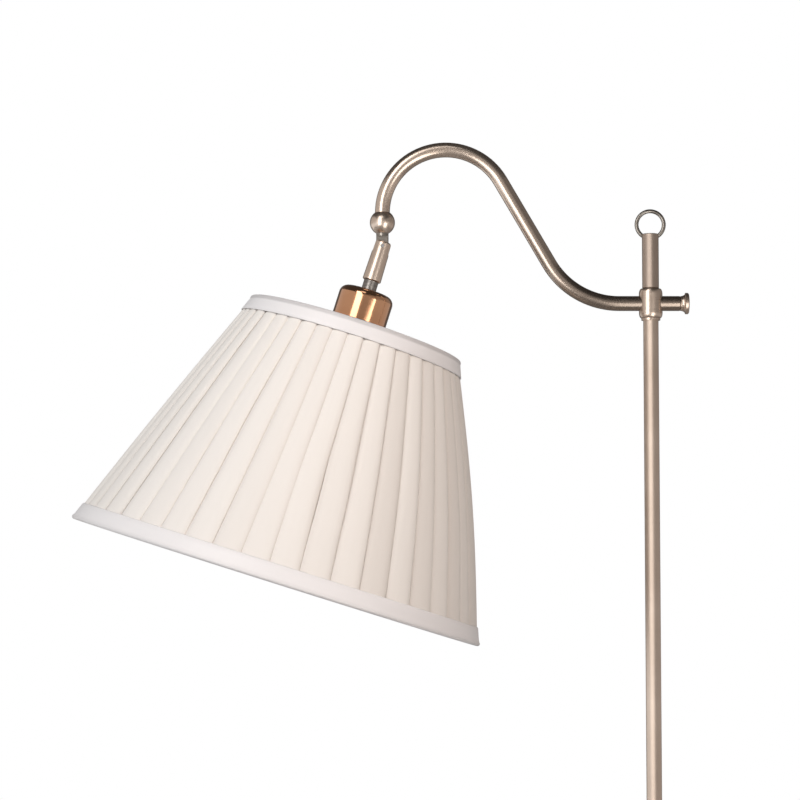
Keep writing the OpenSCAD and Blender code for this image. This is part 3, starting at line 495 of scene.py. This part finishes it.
def cover_point(index, along):
    """A point of the strip, from its number round the ring and its share of the way down."""
    down = CLOTH_TOP + (CLOTH_BOTTOM - CLOTH_TOP) * along
    pleat, step = divmod(index, FOLD_POINTS)
    width = pleat_width(down)
    hidden = min(MOST_HIDDEN, (PLEAT_STRIP - width) / 2 / width)
    share, depth = pleat_fold(hidden)[step]
    owner = fold_owner(pleat, step)
    free = math.sin(math.pi * min(1, max(0, (along - FREE_FROM) / FREE_OVER)))
    wander = noise.noise(Vector((owner * WANDER_APART, along * WANDER_DOWN, 0))) * WANDER
    share += PLEAT_LEAN[owner] * (0.5 + 0.5 * free) + wander * free
    depth += PLEAT_RISE[owner] * free * (1 - depth / NO_RISE_AT)
    angle = -2 * math.pi * (pleat + share) / PLEATS
    swell = (SWELL + SWELL_SIDE * math.cos(angle)) * free
    radius = skin(down) - COVER_IN - depth * (1 + DEEPER_WHEN_FREE * free) + swell
    return Vector((radius * math.cos(angle), radius * math.sin(angle), -down)) * MM


print("the first fold starts at", tuple(round(c, 4) for c in cover_point(0, 0)))


# %% How dark a point of the cover is
def cloth_shadow(index):
    """Share of shade on a point: most of it deep in a crease, some on a pleat that turns away."""
    pleat, step = divmod(index, FOLD_POINTS)
    depth = min(1, pleat_fold(TYPICAL_HIDDEN)[step][1] / PANEL[-1][1])
    crease = OPEN_CREASE_SHADOW if pleat in OPEN_PLEATS else CREASE_SHADOW
    return PLEAT_TONE_AND_SHADE[fold_owner(pleat, step)] + crease * depth ** 2


print("the first crease is darkened by", round(cloth_shadow(len(PANEL) - 1), 2))

# %% Ring by ring down the cone
# The rings are one metre apart at first, so a point's height is the number of its ring.
bm = bmesh.new()
ring_points = PLEATS * FOLD_POINTS
bmesh.ops.create_circle(bm, segments=ring_points, radius=1)
edges = list(bm.edges)
for ring in range(1, COVER_RINGS):
    grown = bmesh.ops.extrude_edge_only(bm, edges=edges)["geom"]
    edges = [e for e in grown if isinstance(e, bmesh.types.BMEdge)]
    lower = [v for v in grown if isinstance(v, bmesh.types.BMVert)]
    bmesh.ops.translate(bm, verts=lower, vec=(0, 0, -1))
print("the cover has", COVER_RINGS, "rings of", ring_points, "points")

# %% How far along the strip each point of a pleat lies
MEAN_PLEAT, LAST_RUN = 19, 1.2
fold_marks = [0.0]
for a, b in zip(pleat_fold(TYPICAL_HIDDEN), pleat_fold(TYPICAL_HIDDEN)[1:]):
    fold_marks.append(fold_marks[-1] + math.hypot((b[0] - a[0]) * MEAN_PLEAT, b[1] - a[1]))
fold_marks = [m * PLEAT_STRIP / (fold_marks[-1] + LAST_RUN) for m in fold_marks]
print("a pleat's last point lies", round(fold_marks[-1], 1), "mm along its", PLEAT_STRIP, "mm")

# %% The weave's map, and each point's fold and shade
weave_map = bm.loops.layers.uv.new("weave")
shadow_layer = bm.verts.layers.float.new("shadow")
numbers = {}
for v in bm.verts:
    turn = math.atan2(v.co.y, v.co.x) / (2 * math.pi)
    numbers[v] = (round(turn * ring_points) % ring_points, round(-v.co.z))
for face in bm.faces:
    last = max(numbers[v][0] for v in face.verts)
    for loop in face.loops:
        index, ring = numbers[loop.vert]
        lap = ring_points if last - index > ring_points / 2 else 0
        pleat, step = divmod(index + lap, FOLD_POINTS)
        loop[weave_map].uv = ((pleat * PLEAT_STRIP + fold_marks[step]) * MM,
                              ring / (COVER_RINGS - 1) * SLANT * MM)
for v, (index, ring) in numbers.items():
    v.co = cover_point(index, ring / (COVER_RINGS - 1))
    v[shadow_layer] = cloth_shadow(index)
bmesh.ops.recalc_face_normals(bm, faces=bm.faces)
print("the cloth is folded,", len(bm.faces), "faces")

# %% The cover as a piece
cover = piece_from(bm, "pleated_cover", "head", HEAD)
add_thickness(cover, 0.3, offset=0)
cover.data.materials.append(cover_cloth)
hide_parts("shade_cover")
print("cover:", len(cover.data.vertices), "points")

# %% [markdown]
# ## Lining and trims
#
# The lining is a smooth cone of cloth inside the frame's layers. Each trim is a folded band that
# covers the cloth's raw edge outside, rolls over the rim as a bead and is turned in over the
# frame's wire. All three are outlines spun round the head's axis. That is shorter than bending
# flat strips, and it gives each its cloth map: the way round on one side, and the length along the
# outline on the other. The bead catches less light than the band, so its points get some of the
# shadow attribute.

# %% The map and the shade of spun cloth
def mark_cloth(bm, outline, shadows):
    """Give each point the map and the shade of the outline's nearest point."""
    marks = [0.0]
    for (r0, z0), (r1, z1) in zip(outline, outline[1:]):
        marks.append(marks[-1] + math.hypot(r1 - r0, z1 - z0))
    place_of = {(round(r, 2), round(z, 2)): mark for (r, z), mark in zip(outline, marks)}
    shadow_of = dict(zip(place_of, shadows or [0.0] * len(outline)))
    weave_map = bm.loops.layers.uv.new("weave")
    shadow_layer = bm.verts.layers.float.new("shadow")
    middle = sum(r for r, _ in outline) / len(outline)
    for face in bm.faces:
        turns = [math.atan2(v.co.y, v.co.x) for v in face.verts]
        for loop in face.loops:
            turn = math.atan2(loop.vert.co.y, loop.vert.co.x)
            if max(turns) - turn > math.pi:
                turn += 2 * math.pi
            at = (round(loop.vert.co.xy.length / MM, 2), round(loop.vert.co.z / MM, 2))
            mark = min(place_of, key=lambda p: abs(p[0] - at[0]) + abs(p[1] - at[1]))
            loop.vert[shadow_layer] = shadow_of[mark]
            loop[weave_map].uv = (turn * middle * MM, place_of[mark] * MM)


print("spun cloth carries a weave map and a shade")

# %% [markdown]
# Cloth over a frame is never quite round. A slow noise moves each point out or in by a tenth of a
# millimetre or so, which is enough to break a perfect highlight.

# %% Spun cloth
SPIN_STEPS = 176
RIPPLES_ROUND, RIPPLES_PER_METRE = 7, 60


def spun_cloth(name, outline, thickness, material, ripple=0.0, shadows=None):
    bm = bmesh.new()
    points = [bm.verts.new((r * MM, 0, z * MM)) for r, z in outline]
    edges = [bm.edges.new(pair) for pair in zip(points, points[1:])]
    bmesh.ops.spin(bm, geom=points + edges, cent=(0, 0, 0), axis=(0, 0, 1), steps=SPIN_STEPS,
                   angle=2 * math.pi, use_merge=True, use_duplicate=False)
    bmesh.ops.remove_doubles(bm, verts=bm.verts, dist=0.01 * MM)
    bmesh.ops.recalc_face_normals(bm, faces=bm.faces)
    mark_cloth(bm, outline, shadows)
    for v in bm.verts:
        turn = math.atan2(v.co.y, v.co.x)
        push = noise.noise(Vector((math.cos(turn) * RIPPLES_ROUND, math.sin(turn) * RIPPLES_ROUND,
                                   v.co.z * RIPPLES_PER_METRE))) * ripple
        v.co += Vector((v.co.x, v.co.y, 0)).normalized() * push * MM
    piece = piece_from(bm, name, "head", HEAD)
    add_thickness(piece, thickness)
    piece.data.materials.append(material)
    return piece


print("cloth is spun in", SPIN_STEPS, "steps")

# %% Lining
LINING_IN, LINING_STEPS = 4.96, 12

lining_outline = [(skin(d) - LINING_IN, -d)
                  for d in [CLOTH_TOP + (CLOTH_BOTTOM - CLOTH_TOP) * i / LINING_STEPS
                            for i in range(LINING_STEPS + 1)]]
lining = spun_cloth("shade_lining_cloth", lining_outline, 0.4, lining_cloth, 0.12)
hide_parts("shade_lining")

# %% The outline of a trim
TURNED_IN = ((5.4, 3.1), (7.4, 3.3), (9.2, 4.3), (9.8, 6.0), (9.9, 11.0))


def arc(centre, radius, start, stop, steps):
    """Points on an arc in an outline, with angles in degrees from the outward direction."""
    return [(centre[0] + radius * math.cos(math.radians(start + (stop - start) * i / steps)),
             centre[1] + radius * math.sin(math.radians(start + (stop - start) * i / steps)))
            for i in range(steps + 1)]


def trim_outline(rim, inward, band):
    """Up the band, over the bead, in over the wire. inward: 1 at the top rim, -1 at the bottom.

    Distances are in mm from the rim: the raw edge, four points of the band, half a turn of bead."""
    bead_down = rim + inward * BEAD_R
    bead = (skin(bead_down) - BEAD_R + BEAD_PROUD, -bead_down)
    outline = [(skin(rim + inward * (band + 0.3)) - 0.7, -(rim + inward * (band + 0.3)))]
    outline += [(skin(rim + inward * d), -(rim + inward * d))
                for d in (band - 0.4, band * 0.7, band * 0.4, 4.4)]
    outline += arc(bead, BEAD_R, -22 * inward, 178 * inward, 12)
    for inset, d in TURNED_IN:
        outline.append((skin(rim + inward * d) - inset, -(rim + inward * d)))
    return outline


print("a trim's outline has", len(trim_outline(RIM_TOP, 1, TOP_TRIM)), "points")

# %% The two trims
BEAD_STEPS = range(5, 14)


def trim(name, rim, inward, band, node, bead_shadow):
    outline = trim_outline(rim, inward, band)
    shadows = [bead_shadow if step in BEAD_STEPS else 0.0 for step in range(len(outline))]
    piece = spun_cloth(name, outline, 0.5, trim_cloth, 0.18, shadows)
    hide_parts(node)


trim("top_trim_band", RIM_TOP, 1, TOP_TRIM, "shade_top_trim", 0.45)
trim("bottom_trim_band", RIM_BOTTOM, -1, BOTTOM_TRIM, "shade_bottom_trim", 0.12)

# %% [markdown]
# ## Felt under the base
#
# The felt keeps the base from scratching the floor. It is a thick disc whose edge is soft and a
# little uneven, because it is cut with a blade. The CAD disc is too exact for that, so here a
# circle is extruded by the thickness, both edges are rounded, and noise moves the rim.

# %% Felt
FELT_R, FELT_T = 132.0, 2.0
UNEVEN, WAVES_PER_METRE = 0.0015, 160
bm = bmesh.new()
bmesh.ops.create_circle(bm, cap_ends=True, segments=128, radius=FELT_R * MM)
lifted = bmesh.ops.extrude_face_region(bm, geom=list(bm.faces))["geom"]
bmesh.ops.translate(bm, verts=[v for v in lifted if isinstance(v, bmesh.types.BMVert)],
                    vec=(0, 0, FELT_T * MM))
rim_edges = [e for e in bm.edges if abs(e.verts[0].co.z - e.verts[1].co.z) < 0.1 * MM]
bmesh.ops.bevel(bm, geom=rim_edges, offset=0.5 * MM, affect="EDGES", segments=3, profile=0.5,
                material=-1)
for v in bm.verts:
    if v.co.xy.length > 0.9 * FELT_R * MM:
        v.co.xy *= 1 + UNEVEN * noise.noise(v.co * WAVES_PER_METRE)
bmesh.ops.recalc_face_normals(bm, faces=bm.faces)
felt = piece_from(bm, "felt_disc", "stand")
felt.data.materials.append(felt_cloth)
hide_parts("base_felt")
print("felt:", 2 * FELT_R, "mm across")

# %% [markdown]
# ## Details on the lamp holder
#
# CAD keeps screw threads and milled edges as plain cylinders. Both show past the shade's top: the
# thread on the holder's skirt, and the milled edges of the two rings that clamp the shade's frame
# to it. A bump couldn't change their outlines, so they are drawn. A thread is an outline that
# moves along the axis as it is spun, and a milled ring is a circle whose every other pair of
# points is drawn in.

# %% The thread on the holder
HOLDER_R, THREAD_PITCH, THREAD_TOP = 19.7, 2.5, 68.5
THREAD_TURNS, TURN_STEPS = 11, 48
bm = bmesh.new()
tooth = [bm.verts.new((r * MM, 0, z * MM))
         for r, z in ((HOLDER_R - 0.1, -0.9), (HOLDER_R + 0.45, -0.3), (HOLDER_R + 0.45, 0.3),
                      (HOLDER_R - 0.1, 0.9))]
bm.faces.new(tooth)
bmesh.ops.spin(bm, geom=list(bm.faces), cent=(0, 0, 0), axis=(0, 0, 1),
               steps=THREAD_TURNS * TURN_STEPS, angle=2 * math.pi * THREAD_TURNS,
               dvec=(0, 0, -THREAD_PITCH * MM / TURN_STEPS), use_merge=False, use_duplicate=False)
bmesh.ops.translate(bm, verts=bm.verts, vec=(0, 0, -THREAD_TOP * MM))
bmesh.ops.recalc_face_normals(bm, faces=bm.faces)
holder_thread = piece_from(bm, "holder_thread", "head", HEAD)
holder_thread.data.materials.append(black_plastic)
print("thread:", THREAD_TURNS, "turns")

# %% The milled shade rings
def milled_ring(name, top, node):
    outer, inner, height, notches, notch_depth = 25.2, 19.8, 4.0, 36, 0.7
    bm = bmesh.new()
    bmesh.ops.create_circle(bm, segments=notches * 4, radius=outer * MM)
    for v in bm.verts:
        if round(math.atan2(v.co.y, v.co.x) / (2 * math.pi) * notches * 4) % 4 in (0, 1):
            v.co.xy *= (outer - notch_depth) / outer
    grown = bmesh.ops.extrude_edge_only(bm, edges=list(bm.edges))["geom"]
    bmesh.ops.translate(bm, verts=[v for v in grown if isinstance(v, bmesh.types.BMVert)],
                        vec=(0, 0, -height * MM))
    hole = bmesh.ops.create_circle(bm, segments=notches * 4, radius=inner * MM)["verts"]
    hole_edges = list({e for v in hole for e in v.link_edges})
    grown = bmesh.ops.extrude_edge_only(bm, edges=hole_edges)["geom"]
    bmesh.ops.translate(bm, verts=[v for v in grown if isinstance(v, bmesh.types.BMVert)],
                        vec=(0, 0, -height * MM))
    for level in (0, -height * MM):
        open_edges = [e for e in bm.edges if e.is_boundary
                      and all(abs(v.co.z - level) < 0.01 * MM for v in e.verts)]
        bmesh.ops.bridge_loops(bm, edges=open_edges)
    bmesh.ops.recalc_face_normals(bm, faces=bm.faces)
    bmesh.ops.translate(bm, verts=bm.verts, vec=(0, 0, -top * MM))
    ring = piece_from(bm, name, "head", HEAD)
    for face in ring.data.polygons:
        face.use_smooth = False
    ring.data.materials.append(black_plastic)
    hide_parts(node)
    print(name, "has", notches, "notches")


SPIDER_TOP, SPIDER_T = 80.0, 1.2
milled_ring("shade_ring_above", SPIDER_TOP - 4.0, "shade_ring_upper")
milled_ring("shade_ring_below", SPIDER_TOP + SPIDER_T, "shade_ring_lower")

# %% [markdown]
# ## Finishes on the CAD parts
#
# Every CAD node gets the finish of its slot. The parts that are turned round the pole's axis take
# the turned brass, and a few parts have a finish of their own.

# %% The finish of each slot
FINISH_OF_SLOT = {"antique_brass": arm_brass, "copper": copper, "steel": steel, "iron": iron,
                  "felt": felt_cloth, "flex": white_flex, "rubber_bush": rubber,
                  "holder_black": black_plastic, "porcelain": porcelain, "frame_wire": white_wire,
                  "lining": lining_cloth, "pleated_cloth": cover_cloth, "trim": trim_cloth,
                  "bulb_metal": bulb_tin, "bulb_glass": frosted_glass}
print(len(FINISH_OF_SLOT), "slots have a finish")

# %% Give each CAD node its finish
TURNED_ROUND_POLE = ("base_cover", "base_collar", "pole_lower", "pole_middle", "pole_upper",
                     "joint_ring_lower", "joint_ring_upper")
OWN_FINISH = {"finial_sleeve": sleeve_brass, "slider_collar": collar_brass,
              "slider_bush": collar_brass, "arm_ball": knuckle_brass, "forked_link": knuckle_brass,
              "clamp_knob": knuckle_brass, "knuckle_neck": shadowed_brass, "finial_ring": shadowed_brass,
              "nipple_spacer": shadowed_steel, "terminal_screws": contact_brass,
              "screw_shell": contact_brass, "centre_contact": contact_brass,
              **dict.fromkeys(TURNED_ROUND_POLE, pole_brass)}

for subpart in frame["record"]["subparts"]:
    node = subpart["node"]
    finish = OWN_FINISH.get(node, FINISH_OF_SLOT[subpart["material_slot"]])
    mesh = cad_nodes[node].data
    if not mesh.materials:
        mesh.materials.append(finish)
    for slot in cad_nodes[node].material_slots:
        slot.material = finish
print("finished", len(cad_nodes), "CAD nodes")

# %% [markdown]
# ## Studio
#
# Cloth and metal want different lights. Matt cloth shows how much light falls on it, so it gets
# three soft lamps: a key from the upper left, a warm one close on the right, and a weak one from
# the far left that opens the shade's left edge. Metal shows what it mirrors, so it gets two
# upright strips beside the camera, which draw the two bright lines on the cap, and a small lamp
# over the arm's crest. Each lamp is seen by one kind of ray only, so the two sets can be set
# apart. The room is white behind the lamp and in reflections, and gives matt surfaces a weak even
# fill.

# %% White world
MATT_FILL = 0.27
world = bpy.data.worlds.new("white_room")
bpy.context.scene.world = world
world.use_nodes = True
tree = world.node_tree
tree.nodes.clear()
path = add_node(tree, "ShaderNodeLightPath").outputs
seen = add_node(tree, "ShaderNodeMath", {"operation": "MAXIMUM"}, _0=path["Is Camera Ray"],
                _1=path["Is Glossy Ray"])
seen = add_node(tree, "ShaderNodeMath", {"operation": "MAXIMUM"}, _0=seen.outputs[0],
                _1=path["Is Transmission Ray"])
fill = spread(tree, seen.outputs[0], 0, 1, MATT_FILL, 1.0)
background = add_node(tree, "ShaderNodeBackground", Strength=fill)
background.inputs["Color"].default_value = (1, 1, 1, 1)
add_node(tree, "ShaderNodeOutputWorld", Surface=background.outputs[0])
print("the room is white, with", MATT_FILL, "of its light on matt surfaces")

# %% Lamps
MIDDLE = Vector((-0.27, 0, 1.27))


def lamp(name, place, width, height, power, colour):
    data = bpy.data.lights.new(name, "AREA")
    data.shape, data.size, data.size_y = "RECTANGLE", width, height
    data.energy = power
    data.color = colour
    made = bpy.data.objects.new(name, data)
    made.location = place
    made.rotation_euler = (MIDDLE - Vector(place)).to_track_quat("-Z", "Y").to_euler()
    made.visible_camera = False
    bpy.context.scene.collection.objects.link(made)
    return made


print("lamps face", tuple(MIDDLE))

# %% Lamps for the cloth
def cloth_lamp(name, azimuth, elevation, level, colour, away=2.8, size=1.2):
    """level is the share of a colour that this lamp alone would show on cloth that faces it."""
    across, up = math.radians(azimuth), math.radians(elevation)
    aim = Vector((math.sin(across) * math.cos(up), -math.cos(across) * math.cos(up), math.sin(up)))
    made = lamp(name, MIDDLE + aim * away, size, size, level * (math.pi * away) ** 2, colour)
    made.visible_glossy = False


cloth_lamp("lamp_key", -40, 36, 0.57, (0.975, 0.99, 1.0))
cloth_lamp("lamp_right", 32, 13, 0.51, (1.0, 0.86, 0.77), away=1.3, size=0.8)
cloth_lamp("lamp_far_left", -100, 0, 0.12, (1.0, 0.90, 0.83))
print("the cloth has three lamps")


# %% Lamps for the metal
def metal_lamp(name, place, width, height, radiance, colour, turn=None):
    """A lamp that only reflections see, radiance times as bright as white. It faces MIDDLE unless
    it is turned."""
    made = lamp(name, place, width, height, radiance * math.pi * width * height, colour)
    if turn is not None:
        made.rotation_euler = turn
    made.visible_diffuse = False


def metal_strip(name, azimuth, low, high, radiance, colour, away=1.0, width=0.46):
    across = math.radians(azimuth)
    place = Vector((MIDDLE.x + math.sin(across) * away, -math.cos(across) * away, (low + high) / 2))
    metal_lamp(name, place, width, high - low, radiance, colour, (math.pi / 2, 0, across))


metal_strip("strip_left", -23, 0.9, 2.4, 3.3, (1.0, 0.985, 0.96))
metal_strip("strip_right", 32, 0.3, 1.29, 3.3, (1.0, 0.975, 0.93))
metal_strip("strip_pole", -8, 0.2, 2.4, 1.2, (1.0, 0.985, 0.96), width=1.1)
metal_lamp("lamp_over_crest", (-0.42, -0.75, 2.2), 0.7, 0.3, 1.5, (1, 0.98, 0.95))
metal_lamp("lamp_over_base", (0, 0, 3.0), 3.0, 3.0, 0.5, (1, 0.98, 0.95), (0, 0, 0))
print("the metal has five lamps")

# %% [markdown]
# The pole is thin and straight, so in two narrow strips it would show two hard lines from top to
# bottom, where the real pole shows one soft one. Light linking takes it out of both strips and
# gives it one broad strip instead. The base has a soft lamp of its own in the same way, because it
# would mirror little but the dark ceiling.

# %% Which lamp lights what
POLE_PARTS = ("pole_upper", "pole_middle", "pole_lower", "finial_sleeve")
BASE_PARTS = ("base_cover", "base_collar")
for lamp_name, parts, state in (("strip_left", POLE_PARTS, "EXCLUDE"),
                                ("strip_right", POLE_PARTS, "EXCLUDE"),
                                ("strip_pole", POLE_PARTS, "INCLUDE"),
                                ("lamp_over_base", BASE_PARTS, "INCLUDE")):
    group = bpy.data.collections.new(lamp_name + "_on")
    for node in parts:
        group.objects.link(cad_nodes[node])
    for linked in group.collection_objects:
        linked.light_linking.link_state = state
    bpy.data.objects[lamp_name].light_linking.receiver_collection = group
print("the poles and the base have soft lamps of their own")

# %% [markdown]
# ### Cards for the metal's dark edges
#
# A tube mirrors the whole room in one narrow stripe: its middle shows what is behind the camera,
# and its edges what is behind the tube. Cards round the set, all darker than the white room, give
# the tubes their dark edges and the dark upper sides that make them look round. The lower left
# stays open to the room.

# %% Cards that only reflections see
CARD_TINT = (1, 0.93, 0.88)


def card(name, low, high, grey):
    """A flat card between two opposite corners, which share one coordinate."""
    size = Vector(high) - Vector(low)
    flat = min(range(3), key=lambda axis: abs(size[axis]))
    turn = {0: Matrix.Rotation(math.pi / 2, 4, "Y"), 1: Matrix.Rotation(math.pi / 2, 4, "X"),
            2: Matrix.Identity(4)}[flat]
    size[flat] = 1
    bm = bmesh.new()
    bmesh.ops.create_grid(bm, x_segments=1, y_segments=1, size=0.5)
    bmesh.ops.transform(bm, matrix=turn, verts=bm.verts)
    bmesh.ops.scale(bm, verts=bm.verts, vec=size)
    bmesh.ops.translate(bm, verts=bm.verts, vec=(Vector(low) + Vector(high)) / 2)
    mesh = bpy.data.meshes.new(name)
    bm.to_mesh(mesh)
    bm.free()
    made = bpy.data.objects.new(name, mesh)
    bpy.context.scene.collection.objects.link(made)
    paper = bpy.data.materials.new(name)
    paper.use_nodes = True
    paper.node_tree.nodes.clear()
    glow = add_node(paper.node_tree, "ShaderNodeEmission", Strength=1.0)
    glow.inputs["Color"].default_value = (*(grey * tint for tint in CARD_TINT), 1)
    add_node(paper.node_tree, "ShaderNodeOutputMaterial", Surface=glow.outputs[0])
    mesh.materials.append(paper)
    made.visible_camera = made.visible_diffuse = made.visible_shadow = False
    made.visible_transmission = made.visible_volume_scatter = False


print("cards are tinted by", CARD_TINT)

# %% Seven cards round the set
LEFT, RIGHT, FRONT, BACK, FLOOR, CEILING, EYE = -2.6, 2.2, -3.4, 2.4, -0.02, 3.2, 1.3
card("card_front", (LEFT, FRONT, FLOOR), (RIGHT, FRONT, CEILING), 0.38)
card("card_back", (LEFT, BACK, FLOOR), (RIGHT, BACK, CEILING), 0.12)
card("card_above", (LEFT, FRONT, CEILING), (RIGHT, BACK, CEILING), 0.06)
card("card_below", (-1.5, FRONT, FLOOR), (RIGHT, BACK, FLOOR), 0.28)
card("card_left_above", (LEFT, FRONT, EYE), (LEFT, BACK, CEILING), 0.6)
card("card_right_above", (RIGHT, FRONT, EYE), (RIGHT, BACK, CEILING), 0.3)
card("card_right_below", (RIGHT, FRONT, FLOOR), (RIGHT, BACK, EYE), 0.5)

# %% [markdown]
# ### Floor
#
# The floor is a pale disc that keeps the lamp's shadow. It fades out towards its rim, so that it
# melts into the white room.

# %% Floor
FLOOR_R, FADE_FROM, FADE_TO = 4.0, 1.6, 3.8
bm = bmesh.new()
bmesh.ops.create_circle(bm, cap_ends=True, segments=96, radius=FLOOR_R)
floor_mesh = bpy.data.meshes.new("floor")
bm.to_mesh(floor_mesh)
bm.free()
floor = bpy.data.objects.new("floor", floor_mesh)
bpy.context.scene.collection.objects.link(floor)
pale = bpy.data.materials.new("pale_floor")
pale.use_nodes = True
tree = pale.node_tree
tree.nodes.clear()
place = add_node(tree, "ShaderNodeTexCoord").outputs["Object"]
reach = add_node(tree, "ShaderNodeVectorMath", {"operation": "LENGTH"}, _0=place).outputs[1]
edge = spread(tree, reach, FADE_FROM, FADE_TO)
matt = add_node(tree, "ShaderNodeBsdfDiffuse")
matt.inputs["Color"].default_value = (0.86, 0.86, 0.86, 1)
clear = add_node(tree, "ShaderNodeBsdfTransparent")
faded = add_node(tree, "ShaderNodeMixShader", _0=edge, _1=matt.outputs[0], _2=clear.outputs[0])
add_node(tree, "ShaderNodeOutputMaterial", Surface=faded.outputs[0])
floor_mesh.materials.append(pale)
floor.visible_glossy = False
print("the floor fades from", FADE_FROM, "to", FADE_TO, "m")

# %% [markdown]
# ## Finish

# Cloth may stand a little proud of the CAD solids, and nothing else may.

# %% Use the Standard view transform
bpy.context.scene.view_settings.view_transform = "Standard"
